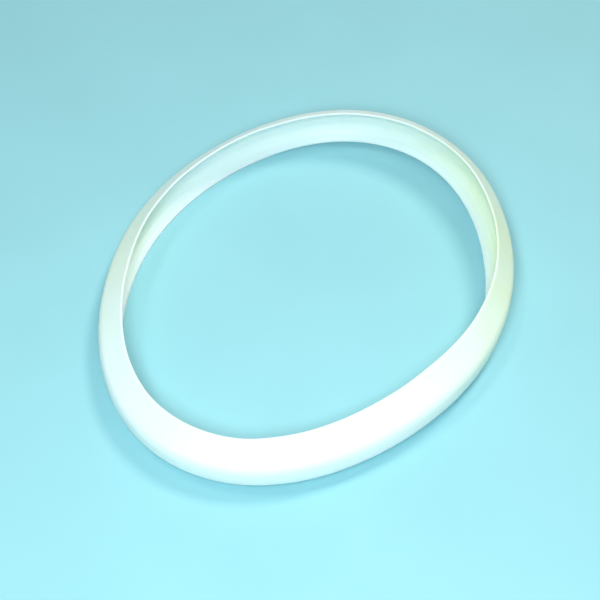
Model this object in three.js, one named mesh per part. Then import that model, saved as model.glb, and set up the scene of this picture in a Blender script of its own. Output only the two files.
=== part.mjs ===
// White silicone sealing ring of a stovetop pressure cooker, lying free on a flat surface.
// Millimetres, +Z up, origin at the centre of the base. One moulding: a closed ring whose section is a
// channel that opens inwards, with an upper and a lower lip that flare away from each other. Off the
// cooker the soft ring is a little oval, twists gently as it goes round and lies clear of the surface over
// one stretch.

import * as THREE from 'three';
import { mergeVertices } from 'three/addons/utils/BufferGeometryUtils.js';

// Section, as moulded. A lip's reach and rise are measured from the outer wall to its free edge.
const OUTER_RADIUS = 110;
const WALL_HEIGHT = 9.9;
const WALL_THICKNESS = 3.8;
const LIP_EDGE_THICKNESS = 1.3;
const UPPER_LIP = { reach: 12.1, rise: 10.1 };
const LOWER_LIP = { reach: 9.7, rise: 5.7 };
const SHOULDER_ROUNDING = 3.4; // outside, where the wall turns into a lip
const CHANNEL_ROUNDING = 2.4; // inside, in the two corners of the channel

// Shape of the relaxed ring, as waves round it: [number of waves, size, direction in degrees].
const OUTLINE_WAVES = [[2, 0.0816, 55], [3, 0.0105, 104], [4, 0.0127, 58]]; // size as a share of the radius
const TWIST_WAVES = [[1, 9, 235], [2, 6.6, 92], [3, 4.4, 62]]; // size in degrees, top leaning inwards
const LIFT = { height: 6, direction: 20, halfWidth: 100 }; // a stretch that lies clear of the surface
const CONTACT_SQUASH = 0.4; // how far the soft lower edge is pressed flat where it rests

const SEGMENTS_ROUND_RING = 96;
const DIVISIONS_PER_CURVE = 3;

// The construction points of one lip, in section: u points out of the ring and v up.
// side is 1 for the upper lip and -1 for the lower one.
function lipPoints(lip, side) {
  const length = Math.hypot(lip.reach, lip.rise);
  const along = new THREE.Vector2(-lip.reach, side * lip.rise).divideScalar(length);
  const inwards = new THREE.Vector2(-lip.rise, -side * lip.reach).divideScalar(length);
  const shoulder = new THREE.Vector2(0, side * WALL_HEIGHT / 2);
  const edgeOutside = shoulder.clone().addScaledVector(along, length);
  const edgeCentre = edgeOutside.clone().addScaledVector(inwards, LIP_EDGE_THICKNESS / 2);
  const edgeInside = edgeOutside.clone().addScaledVector(inwards, LIP_EDGE_THICKNESS);
  const innerFaceStart = shoulder.clone().addScaledVector(inwards, WALL_THICKNESS);
  const innerFace = edgeInside.clone().sub(innerFaceStart);
  const toWall = (-WALL_THICKNESS - innerFaceStart.x) / innerFace.x;
  const root = innerFaceStart.clone().addScaledVector(innerFace, toWall);
  return { along, shoulder, edgeOutside, edgeCentre, edgeInside, innerFace: innerFace.normalize(), root };
}

// A rounded corner: a straight run up to it, then a curve of the given length on each side.
function addRoundedCorner(path, corner, from, to, length) {
  const start = corner.clone().addScaledVector(from, length);
  const end = corner.clone().addScaledVector(to, length);
  path.lineTo(start.x, start.y);
  path.quadraticCurveTo(corner.x, corner.y, end.x, end.y);
}

// The half-round free edge of a lip, from the point that the outline has reached.
function addRoundEdge(path, lip, start) {
  path.lineTo(start.x, start.y);
  const startAngle = start.clone().sub(lip.edgeCentre).angle();
  path.absarc(lip.edgeCentre.x, lip.edgeCentre.y, LIP_EDGE_THICKNESS / 2, startAngle, startAngle + Math.PI);
}

// The whole section: up the wall, out along the upper lip and back, then the same for the lower lip.
function sectionOutline() {
  const upper = lipPoints(UPPER_LIP, 1);
  const lower = lipPoints(LOWER_LIP, -1);
  const up = new THREE.Vector2(0, 1);
  const down = new THREE.Vector2(0, -1);
  const path = new THREE.Path();
  path.moveTo(0, 0);
  addRoundedCorner(path, upper.shoulder, down, upper.along, SHOULDER_ROUNDING);
  addRoundEdge(path, upper, upper.edgeOutside);
  addRoundedCorner(path, upper.root, upper.innerFace, down, CHANNEL_ROUNDING);
  addRoundedCorner(path, lower.root, up, lower.innerFace, CHANNEL_ROUNDING);
  addRoundEdge(path, lower, lower.edgeInside);
  addRoundedCorner(path, lower.shoulder, lower.along, up, SHOULDER_ROUNDING);
  path.autoClose = true;
  return path.getPoints(DIVISIONS_PER_CURVE);
}

// Sum of waves round the ring at one angle, and its slope.
function sumOfWaves(waves, angle) {
  let value = 0;
  let slope = 0;
  for (const [count, size, direction] of waves) {
    const phase = count * (angle - THREE.MathUtils.degToRad(direction));
    value += size * Math.cos(phase);
    slope -= size * count * Math.sin(phase);
  }
  return { value, slope };
}

// How far the ring lies clear of the surface at one angle: a smooth rise over one stretch, none elsewhere.
function liftAt(angle) {
  const turned = THREE.MathUtils.radToDeg(angle) - LIFT.direction;
  const away = THREE.MathUtils.euclideanModulo(turned + 180, 360) - 180;
  const share = THREE.MathUtils.clamp(away / LIFT.halfWidth, -1, 1);
  return LIFT.height * (1 + Math.cos(Math.PI * share)) / 2;
}

// Where the ring's wall is at one angle, which way it faces and how far the section leans there.
function ringStation(angle) {
  const outline = sumOfWaves(OUTLINE_WAVES, angle);
  const radius = OUTER_RADIUS * (1 + outline.value);
  const radiusSlope = OUTER_RADIUS * outline.slope;
  const radial = new THREE.Vector2(Math.cos(angle), Math.sin(angle));
  const sideways = new THREE.Vector2(-radial.y, radial.x);
  const tangent = radial.clone().multiplyScalar(radiusSlope).addScaledVector(sideways, radius).normalize();
  return {
    wall: radial.multiplyScalar(radius),
    outwards: new THREE.Vector2(tangent.y, -tangent.x),
    lean: THREE.MathUtils.degToRad(sumOfWaves(TWIST_WAVES, angle).value),
    lift: liftAt(angle),
  };
}

// The section turns about the middle of the channel.
const SECTION_PIVOT = new THREE.Vector2(-(UPPER_LIP.reach + LOWER_LIP.reach) / 4, 0);

function leaningSection(points, lean) {
  return points.map((point) => point.clone().rotateAround(SECTION_PIVOT, lean));
}

// A straight round ring first, then every vertex moves to its place on the relaxed ring.
function sealingRingGeometry() {
  const outline = sectionOutline();
  const profile = outline.map((point) => new THREE.Vector2(OUTER_RADIUS + point.x, point.y));
  const lathe = new THREE.LatheGeometry(profile, SEGMENTS_ROUND_RING);
  lathe.rotateX(Math.PI / 2);
  lathe.deleteAttribute('uv');
  lathe.deleteAttribute('normal');
  const ring = mergeVertices(lathe, 1e-3);
  const position = ring.attributes.position;
  for (let index = 0; index < position.count; index += 1) {
    const angle = Math.atan2(position.getY(index), position.getX(index));
    const station = ringStation(angle);
    const lowest = Math.min(...leaningSection(outline, station.lean).map((point) => point.y));
    const fromWall = Math.hypot(position.getX(index), position.getY(index)) - OUTER_RADIUS;
    const section = new THREE.Vector2(fromWall, position.getZ(index));
    section.rotateAround(SECTION_PIVOT, station.lean);
    const height = Math.max(0, section.y - lowest - CONTACT_SQUASH + station.lift);
    const plan = station.wall.addScaledVector(station.outwards, section.x);
    position.setXYZ(index, plan.x, plan.y, height);
  }
  ring.computeBoundingBox();
  const middle = ring.boundingBox.getCenter(new THREE.Vector3());
  ring.translate(-middle.x, -middle.y, 0);
  ring.computeVertexNormals();
  return ring;
}

const silicone = new THREE.MeshStandardMaterial({ color: 0xeef2ec, roughness: 0.42, metalness: 0 });
const sealingRing = new THREE.Mesh(sealingRingGeometry(), silicone);
sealingRing.name = 'sealing_ring';

const model = new THREE.Group();
model.add(sealingRing);

export default model;
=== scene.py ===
"""White silicone sealing ring of a pressure cooker, lying free on a pale blue surface.

The ring is one moulding. Its section is a channel that opens inwards, with two flared lips. Off the
cooker the soft ring is a little oval, twists gently as it goes round and lies clear of the surface over
one stretch. The CAD node has that shape in coarse facets; this script makes the fine surface.
"""

import math

import bpy
import numpy as np
from mathutils import Matrix, Vector


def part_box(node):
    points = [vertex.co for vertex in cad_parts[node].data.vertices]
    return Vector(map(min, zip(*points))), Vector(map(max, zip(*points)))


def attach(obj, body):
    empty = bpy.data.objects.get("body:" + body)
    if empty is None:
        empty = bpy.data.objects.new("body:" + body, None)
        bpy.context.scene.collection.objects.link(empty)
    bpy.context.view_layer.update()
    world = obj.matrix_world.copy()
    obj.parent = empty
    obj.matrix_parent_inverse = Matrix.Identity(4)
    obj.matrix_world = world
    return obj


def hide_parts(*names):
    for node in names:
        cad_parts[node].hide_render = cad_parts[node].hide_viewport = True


MM = 0.001

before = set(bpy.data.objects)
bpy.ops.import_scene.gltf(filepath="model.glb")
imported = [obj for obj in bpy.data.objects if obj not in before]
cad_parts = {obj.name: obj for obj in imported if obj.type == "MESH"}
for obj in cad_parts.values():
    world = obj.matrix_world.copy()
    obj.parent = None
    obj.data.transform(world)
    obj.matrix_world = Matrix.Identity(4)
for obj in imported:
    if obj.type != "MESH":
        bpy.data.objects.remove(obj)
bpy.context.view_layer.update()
RING_LOW, RING_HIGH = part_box("sealing_ring")

# ---------------------------------------------------------------- dimensions, in millimetres

# Section, as moulded. A lip's reach and rise are measured from the outer wall to its free edge.
OUTER_RADIUS = 110.0
WALL_HEIGHT = 9.9
WALL_THICKNESS = 3.8
LIP_EDGE_THICKNESS = 1.3
UPPER_LIP = {"reach": 12.1, "rise": 10.1}
LOWER_LIP = {"reach": 9.7, "rise": 5.7}
SHOULDER_ROUNDING = 3.4  # outside, where the wall turns into a lip
CHANNEL_ROUNDING = 2.4  # inside, in the two corners of the channel

# Shape of the relaxed ring, as waves round it: (number of waves, size, direction in degrees).
OUTLINE_WAVES = ((2, 0.0816, 55), (3, 0.0105, 104), (4, 0.0127, 58))  # size as a share of the radius
TWIST_WAVES = ((1, 9.0, 235), (2, 6.6, 92), (3, 4.4, 62))  # size in degrees, top leaning inwards
LIFT = {"height": 6.0, "direction": 20, "half_width": 100}  # a stretch that lies clear of the surface
CONTACT_SQUASH = 0.4  # how far the soft lower edge is pressed flat where it rests

# Fine detail of the moulding.
PARTING_RIDGE = {"height": 0.12, "half_width": 0.3}
FACE_LINE = {"height": -0.16, "half_width": 0.45}
FACE_LINE_PLACES = (0.35, 0.7)  # share of the way from the channel to the lower lip's edge
LIP_WAVES = ((5, 0.10, 20), (9, 0.11, 31), (14, 0.07, 4), (23, 0.04, 9))  # at the free edges

# Where the rubber is tinted yellow, and how much. The tint is partly its own yellowing and partly painted
# shade, deep in the channel and over two stretches of the ring. The wall and upper lip take less of the
# tint than the channel.
TINTED_AND_SHADED_STRETCHES = (
    {"height": 1.0, "direction": 0, "half_width": 75},
    {"height": 0.55, "direction": 165, "half_width": 45},
)
TINT_AND_SHADE_OF_WALL = 0.6

# Fineness of the mesh.
STATIONS = 660
POINTS_ROUND_SECTION = 150
POINTS_IN_CORNER = 9
POINTS_IN_LIP_EDGE = 13

# ---------------------------------------------------------------- materials and studio, in metres

SILICONE_WHITE = (0.90, 0.92, 0.90, 1.0)
# Yellowed rubber. This colour also serves as painted shade, deep in the channel and over two stretches of
# the ring.
SILICONE_YELLOWED_AND_SHADED = (0.84, 0.86, 0.45, 1.0)
SILICONE_ROUGHNESS = (0.36, 0.52)  # between its smoothest and its most smeared places
SILICONE_TRANSLUCENCY = {"weight": 0.6, "radius": (1.0, 1.0, 0.8), "scale": 2.5 * MM}
LEAST_TINTED_AND_SHADED_PATCH = 0.55  # of the full tint, its yellowing and painted shade together, in the patches where it is weakest
TABLE_BLUE = (0.325, 0.605, 0.675, 1.0)
TABLE_PALE_BLUE = (0.34, 0.63, 0.705, 1.0)
TABLE_ROUGHNESS = 0.7
TABLE_HALF_SIZE = 3.0

# Noise patterns, whose scale is in features to the metre, and the bumps that three of them make.
YELLOW_PATCHES = {"scale": 45.0, "detail": 3.0}
SMEARS = {"scale": 110.0, "detail": 4.0}
SKIN = {"scale": 2600.0, "detail": 2.0}
GENTLE_WAVES = {"scale": 240.0, "detail": 3.0}
TABLE_CLOUDS = {"scale": 14.0, "detail": 4.0}
TABLE_GRAIN = {"scale": 1500.0, "detail": 2.0}
NOISE_MIDDLE = (0.3, 0.7)  # the part of a noise's range that it mostly stays in
SKIN_BUMP = {"distance": 0.03 * MM, "strength": 0.5}
WAVE_BUMP = {"distance": 0.12 * MM, "strength": 0.4}
GRAIN_BUMP = {"distance": 0.05 * MM, "strength": 0.4}

WORLD = {"colour": (0.66, 0.92, 1.0), "strength": 0.3}
LAMPS = {
    "overhead": {"place": (-0.70, 0.20, 2.00), "size": 0.44, "power": 6.3, "colour": (0.85, 0.97, 0.92)},
    "behind": {"place": (0.90, 0.62, 1.72), "size": 0.60, "power": 16.8, "colour": (1.0, 0.95, 0.82)},
    "front": {"place": (-0.06, -0.41, 0.54), "size": 0.25, "power": 3.4, "colour": (0.76, 0.98, 1.0)},
}

# Angles are in degrees, the distance in metres, and the sensor and the lens in millimetres.
CAMERA = {"elevation": 54, "roll": 5, "distance": 0.715, "sensor": 36.0, "lens": 82.1}
RING_RIGHT_OF_MIDDLE = 3.8 * MM
RING_ABOVE_MIDDLE = 2.9 * MM


# ---------------------------------------------------------------- section

def rounded_corner(corner, before, after, length):
    """Points of a quadratic curve that rounds a corner between two directions."""
    start = corner + before * length
    end = corner + after * length
    share = np.linspace(0.0, 1.0, POINTS_IN_CORNER)[:, None]
    return (1 - share) ** 2 * start + 2 * share * (1 - share) * corner + share ** 2 * end


def lip_points(lip, side):
    """Construction points of one lip, in section: u points out of the ring and v up.

    side is 1 for the upper lip and -1 for the lower one.
    """
    length = math.hypot(lip["reach"], lip["rise"])
    along = np.array([-lip["reach"], side * lip["rise"]]) / length
    inwards = np.array([-lip["rise"], -side * lip["reach"]]) / length
    shoulder = np.array([0.0, side * WALL_HEIGHT / 2])
    edge_outside = shoulder + along * length
    edge_centre = edge_outside + inwards * LIP_EDGE_THICKNESS / 2
    edge_inside = edge_outside + inwards * LIP_EDGE_THICKNESS
    inner_start = shoulder + inwards * WALL_THICKNESS
    inner_face = edge_inside - inner_start
    root = inner_start + inner_face * (-WALL_THICKNESS - inner_start[0]) / inner_face[0]
    return {
        "along": along,
        "inwards": inwards,
        "shoulder": shoulder,
        "edge_centre": edge_centre,
        "edge_tip": edge_centre + along * LIP_EDGE_THICKNESS / 2,
        "edge_inside": edge_inside,
        "inner_face": inner_face / np.linalg.norm(inner_face),
        "root": root,
    }


UPPER = lip_points(UPPER_LIP, 1)
LOWER = lip_points(LOWER_LIP, -1)


def round_edge(lip, first):
    """Half-round free edge of a lip. first is -1 to start on its outer face and 1 on its inner face."""
    turn = np.linspace(-math.pi / 2, math.pi / 2, POINTS_IN_LIP_EDGE)[:, None] * -first
    towards = np.cos(turn) * lip["along"] + np.sin(turn) * lip["inwards"]
    return lip["edge_centre"] + towards * LIP_EDGE_THICKNESS / 2


def section_outline():
    """The closed section, anticlockwise from the middle of the outer wall, at an even spacing."""
    up = np.array([0.0, 1.0])
    outline = np.vstack([
        np.zeros((1, 2)),
        rounded_corner(UPPER["shoulder"], -up, UPPER["along"], SHOULDER_ROUNDING),
        round_edge(UPPER, -1),
        rounded_corner(UPPER["root"], UPPER["inner_face"], -up, CHANNEL_ROUNDING),
        rounded_corner(LOWER["root"], up, LOWER["inner_face"], CHANNEL_ROUNDING),
        round_edge(LOWER, 1),
        rounded_corner(LOWER["shoulder"], LOWER["along"], up, SHOULDER_ROUNDING),
        np.zeros((1, 2)),
    ])
    steps = np.linalg.norm(np.diff(outline, axis=0), axis=1)
    travelled = np.concatenate([[0.0], np.cumsum(steps)])
    even = np.linspace(0.0, travelled[-1], POINTS_ROUND_SECTION, endpoint=False)
    u = np.interp(even, travelled, outline[:, 0])
    v = np.interp(even, travelled, outline[:, 1])
    return np.column_stack([u, v])


def line_height(outline, place, line):
    """Height, at each outline point, of a thin moulded line that passes through a place on the section."""
    away = np.linalg.norm(outline - place, axis=1)
    return line["height"] * np.exp(-(away / line["half_width"]) ** 2)


def detailed_outline(outline):
    """The section with its parting lines and the faint lines on the lower lip's inner face."""
    ahead = np.roll(outline, -1, axis=0) - np.roll(outline, 1, axis=0)
    ahead /= np.linalg.norm(ahead, axis=1)[:, None]
    outwards = np.column_stack([ahead[:, 1], -ahead[:, 0]])
    height = line_height(outline, np.zeros(2), PARTING_RIDGE)
    for lip in (UPPER, LOWER):
        height += line_height(outline, lip["edge_tip"], PARTING_RIDGE)
    for share in FACE_LINE_PLACES:
        place = LOWER["root"] + (LOWER["edge_inside"] - LOWER["root"]) * share
        height += line_height(outline, place, FACE_LINE)
    return outline + outwards * height[:, None]


def channel_depth(outline):
    """0 on the outside of the section and at the lips' edges, rising to 1 deep in the channel."""
    order = np.arange(len(outline))
    first = np.argmin(np.linalg.norm(outline - UPPER["edge_inside"], axis=1))
    last = np.argmin(np.linalg.norm(outline - LOWER["edge_inside"], axis=1))
    inside = (order >= first) & (order <= last)
    tip = UPPER["edge_inside"][0]
    return np.where(inside, np.clip((outline[:, 0] - tip) / (-WALL_THICKNESS - tip), 0.0, 1.0), 0.0)


def tint_and_shade_round_section(outline):
    """How much of the yellow tint each part of the section takes: the channel most, where the tint is also
    painted shade, and the lower lip's edge not at all.
    """
    lowest = outline[:, 1].min()
    outside = TINT_AND_SHADE_OF_WALL * np.clip(1 - outline[:, 1] / lowest, 0.0, 1.0)
    return outside + (1 - outside) * channel_depth(outline) ** 2


# ---------------------------------------------------------------- ring

def sum_of_waves(waves, angle):
    """Sum of waves round the ring at each angle, and its slope."""
    value = np.zeros_like(angle)
    slope = np.zeros_like(angle)
    for count, size, direction in waves:
        phase = count * (angle - math.radians(direction))
        value += size * np.cos(phase)
        slope -= size * count * np.sin(phase)
    return value, slope


def rise_and_fall(angle, stretch):
    """A smooth rise over one stretch of the ring, zero elsewhere."""
    away = (np.degrees(angle) - stretch["direction"] + 180) % 360 - 180
    share = np.clip(away / stretch["half_width"], -1, 1)
    return stretch["height"] * (1 + np.cos(math.pi * share)) / 2


def wavy_lips(outline, angle):
    """v of each section point at each station: the free lips are a little wavy, the wall isn't."""
    softness = np.clip(-outline[:, 0] / UPPER_LIP["reach"], 0, 1) ** 2 * np.sign(outline[:, 1])
    wave = sum_of_waves(LIP_WAVES, angle)[0]
    return outline[None, :, 1] + softness[None, :] * wave[:, None]


def ring_points(outline, angle):
    """Vertex grid [station][section point] of the relaxed ring, in millimetres, resting on z = 0."""
    share, share_slope = sum_of_waves(OUTLINE_WAVES, angle)
    radius = OUTER_RADIUS * (1 + share)
    radial = np.column_stack([np.cos(angle), np.sin(angle)])
    sideways = np.column_stack([-np.sin(angle), np.cos(angle)])
    tangent = radial * (OUTER_RADIUS * share_slope)[:, None] + sideways * radius[:, None]
    tangent /= np.linalg.norm(tangent, axis=1)[:, None]
    outwards = np.column_stack([tangent[:, 1], -tangent[:, 0]])
    wall = radial * radius[:, None]

    # The section turns about the middle of the channel.
    pivot = -(UPPER_LIP["reach"] + LOWER_LIP["reach"]) / 4
    lean = np.radians(sum_of_waves(TWIST_WAVES, angle)[0])[:, None]
    u = outline[None, :, 0] - pivot
    v = wavy_lips(outline, angle)
    out = pivot + u * np.cos(lean) - v * np.sin(lean)
    height = u * np.sin(lean) + v * np.cos(lean)
    lift = rise_and_fall(angle, LIFT)[:, None]
    height = height - height.min(axis=1, keepdims=True) - CONTACT_SQUASH + lift
    height = np.maximum(height, 0.0)
    plan = wall[:, None, :] + outwards[:, None, :] * out[:, :, None]
    return np.concatenate([plan, height[:, :, None]], axis=2)


def fit_to_frame(points):
    """Scales and centres the grid so that its box is the CAD node's box."""
    low = points.reshape(-1, 3).min(axis=0)
    high = points.reshape(-1, 3).max(axis=0)
    size = np.array(RING_HIGH - RING_LOW)
    return np.array(RING_LOW) + (points - low) * (size / (high - low))


def ring_mesh(name):
    """The ring as a closed grid of quads, with how much yellow tint and painted shade each point takes as
    an attribute.
    """
    outline = section_outline()
    angle = np.linspace(0.0, 2 * math.pi, STATIONS, endpoint=False)
    grid = fit_to_frame(ring_points(detailed_outline(outline), angle))
    here = np.arange(STATIONS * POINTS_ROUND_SECTION).reshape(STATIONS, POINTS_ROUND_SECTION)
    ahead = np.roll(here, -1, axis=0)
    faces = np.stack([here, ahead, np.roll(ahead, -1, axis=1), np.roll(here, -1, axis=1)], axis=2)
    mesh = bpy.data.meshes.new(name)
    mesh.from_pydata(grid.reshape(-1, 3).tolist(), [], faces.reshape(-1, 4).tolist())
    mesh.update()
    mesh.shade_smooth()

    # Painted shade: the yellow tint is strongest deep in the channel and over two stretches of the ring.
    # It stands partly for yellowing and partly for shade.
    around = sum(rise_and_fall(angle, stretch) for stretch in TINTED_AND_SHADED_STRETCHES)
    yellowed_and_shaded = around[:, None] * tint_and_shade_round_section(outline)[None, :]
    mesh.attributes.new("yellowed_and_shaded", "FLOAT", "POINT").data.foreach_set("value", yellowed_and_shaded.ravel())
    return mesh


# ---------------------------------------------------------------- materials

def noise(nodes, links, coordinates, pattern):
    texture = nodes.new("ShaderNodeTexNoise")
    texture.inputs["Scale"].default_value = pattern["scale"]
    texture.inputs["Detail"].default_value = pattern["detail"]
    links.new(coordinates, texture.inputs["Vector"])
    return texture.outputs["Fac"]


def remap(nodes, links, value, low, high):
    """Stretches the middle of a noise's range to run from low to high."""
    stretch = nodes.new("ShaderNodeMapRange")
    stretch.inputs["From Min"].default_value = NOISE_MIDDLE[0]
    stretch.inputs["From Max"].default_value = NOISE_MIDDLE[1]
    stretch.inputs["To Min"].default_value = low
    stretch.inputs["To Max"].default_value = high
    links.new(value, stretch.inputs["Value"])
    return stretch.outputs["Result"]


def multiply(nodes, links, first, second):
    product = nodes.new("ShaderNodeMath")
    product.operation = "MULTIPLY"
    links.new(first, product.inputs[0])
    links.new(second, product.inputs[1])
    return product.outputs[0]


def mix_colours(nodes, links, factor, first, second):
    mix = nodes.new("ShaderNodeMix")
    mix.data_type = "RGBA"
    links.new(factor, mix.inputs["Factor"])
    mix.inputs["A"].default_value = first
    mix.inputs["B"].default_value = second
    return mix.outputs["Result"]


def add_bump(nodes, links, height, size, shader, before=None):
    """Puts a bump on the shader, on top of the one before it if there is one."""
    bump = nodes.new("ShaderNodeBump")
    bump.inputs["Distance"].default_value = size["distance"]
    bump.inputs["Strength"].default_value = size["strength"]
    links.new(height, bump.inputs["Height"])
    if before:
        links.new(before, bump.inputs["Normal"])
    links.new(bump.outputs["Normal"], shader.inputs["Normal"])
    return bump.outputs["Normal"]


def silicone_material():
    """Satin white silicone rubber: a little translucent, tinted yellow in places, partly its own yellowing
    and partly painted shade, with a fine moulded skin.
    """
    material = bpy.data.materials.new("white_silicone")
    material.use_nodes = True
    nodes = material.node_tree.nodes
    links = material.node_tree.links
    shader = nodes["Principled BSDF"]
    place = nodes.new("ShaderNodeTexCoord").outputs["Object"]

    # Painted shade: the tint mixed in here is partly yellowing and partly shade painted into the colour.
    yellowed_and_shaded = nodes.new("ShaderNodeAttribute")
    yellowed_and_shaded.attribute_name = "yellowed_and_shaded"
    patches = remap(nodes, links, noise(nodes, links, place, YELLOW_PATCHES), LEAST_TINTED_AND_SHADED_PATCH, 1.0)
    factor = multiply(nodes, links, yellowed_and_shaded.outputs["Fac"], patches)
    colour = mix_colours(nodes, links, factor, SILICONE_WHITE, SILICONE_YELLOWED_AND_SHADED)
    links.new(colour, shader.inputs["Base Color"])

    smears = noise(nodes, links, place, SMEARS)
    links.new(remap(nodes, links, smears, *SILICONE_ROUGHNESS), shader.inputs["Roughness"])
    shader.inputs["Subsurface Weight"].default_value = SILICONE_TRANSLUCENCY["weight"]
    shader.inputs["Subsurface Radius"].default_value = SILICONE_TRANSLUCENCY["radius"]
    shader.inputs["Subsurface Scale"].default_value = SILICONE_TRANSLUCENCY["scale"]

    skin = noise(nodes, links, place, SKIN)
    waves = noise(nodes, links, place, GENTLE_WAVES)
    fine = add_bump(nodes, links, skin, SKIN_BUMP, shader)
    add_bump(nodes, links, waves, WAVE_BUMP, shader, before=fine)
    return material


def table_material():
    """Pale blue matt laminate, slightly cloudy."""
    material = bpy.data.materials.new("pale_blue_table")
    material.use_nodes = True
    nodes = material.node_tree.nodes
    links = material.node_tree.links
    shader = nodes["Principled BSDF"]
    place = nodes.new("ShaderNodeTexCoord").outputs["Object"]
    clouds = remap(nodes, links, noise(nodes, links, place, TABLE_CLOUDS), 0.0, 1.0)
    colour = mix_colours(nodes, links, clouds, TABLE_BLUE, TABLE_PALE_BLUE)
    links.new(colour, shader.inputs["Base Color"])
    shader.inputs["Roughness"].default_value = TABLE_ROUGHNESS
    add_bump(nodes, links, noise(nodes, links, place, TABLE_GRAIN), GRAIN_BUMP, shader)
    return material


# ---------------------------------------------------------------- studio

def add_object(name, data):
    made = bpy.data.objects.new(name, data)
    bpy.context.collection.objects.link(made)
    return made


def add_table():
    half = TABLE_HALF_SIZE
    corners = [(-half, -half, 0), (half, -half, 0), (half, half, 0), (-half, half, 0)]
    mesh = bpy.data.meshes.new("table")
    mesh.from_pydata(corners, [], [(0, 1, 2, 3)])
    mesh.materials.append(table_material())
    add_object("table", mesh)


def add_world():
    world = bpy.data.worlds.new("studio")
    bpy.context.scene.world = world
    world.use_nodes = True
    background = world.node_tree.nodes["Background"]
    background.inputs["Color"].default_value = (*WORLD["colour"], 1.0)
    background.inputs["Strength"].default_value = WORLD["strength"]


def add_lamp(name, lamp):
    """A round soft light that points at the middle of the ring."""
    light = bpy.data.lights.new(name, "AREA")
    light.shape = "DISK"
    light.size = lamp["size"]
    light.energy = lamp["power"]
    light.color = lamp["colour"]
    place = Vector(lamp["place"])
    made = add_object(name, light)
    made.location = place
    made.rotation_euler = (-place).to_track_quat("-Z", "Y").to_euler()


def add_camera():
    """The camera looks down on the ring from the front, rolled a little, with the ring near its middle."""
    elevation = math.radians(CAMERA["elevation"])
    towards = Vector((0, -math.cos(elevation), math.sin(elevation)))
    roll = Matrix.Rotation(-math.radians(CAMERA["roll"]), 3, "Z")
    rotation = towards.to_track_quat("Z", "Y").to_matrix() @ roll
    aim = rotation @ Vector((-RING_RIGHT_OF_MIDDLE, -RING_ABOVE_MIDDLE, 0))
    lens = bpy.data.cameras.new("camera")
    lens.sensor_width = CAMERA["sensor"]
    lens.lens = CAMERA["lens"]
    camera = add_object("camera", lens)
    camera.matrix_world = Matrix.Translation(aim + towards * CAMERA["distance"]) @ rotation.to_4x4()
    bpy.context.scene.camera = camera


# ---------------------------------------------------------------- scene

ring = add_object("silicone_ring", ring_mesh("silicone_ring"))
ring.data.materials.append(silicone_material())
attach(ring, "root")
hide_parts("sealing_ring")

add_table()
add_world()
for name, lamp in LAMPS.items():
    add_lamp(name, lamp)
add_camera()
bpy.context.scene.view_settings.view_transform = "Standard"
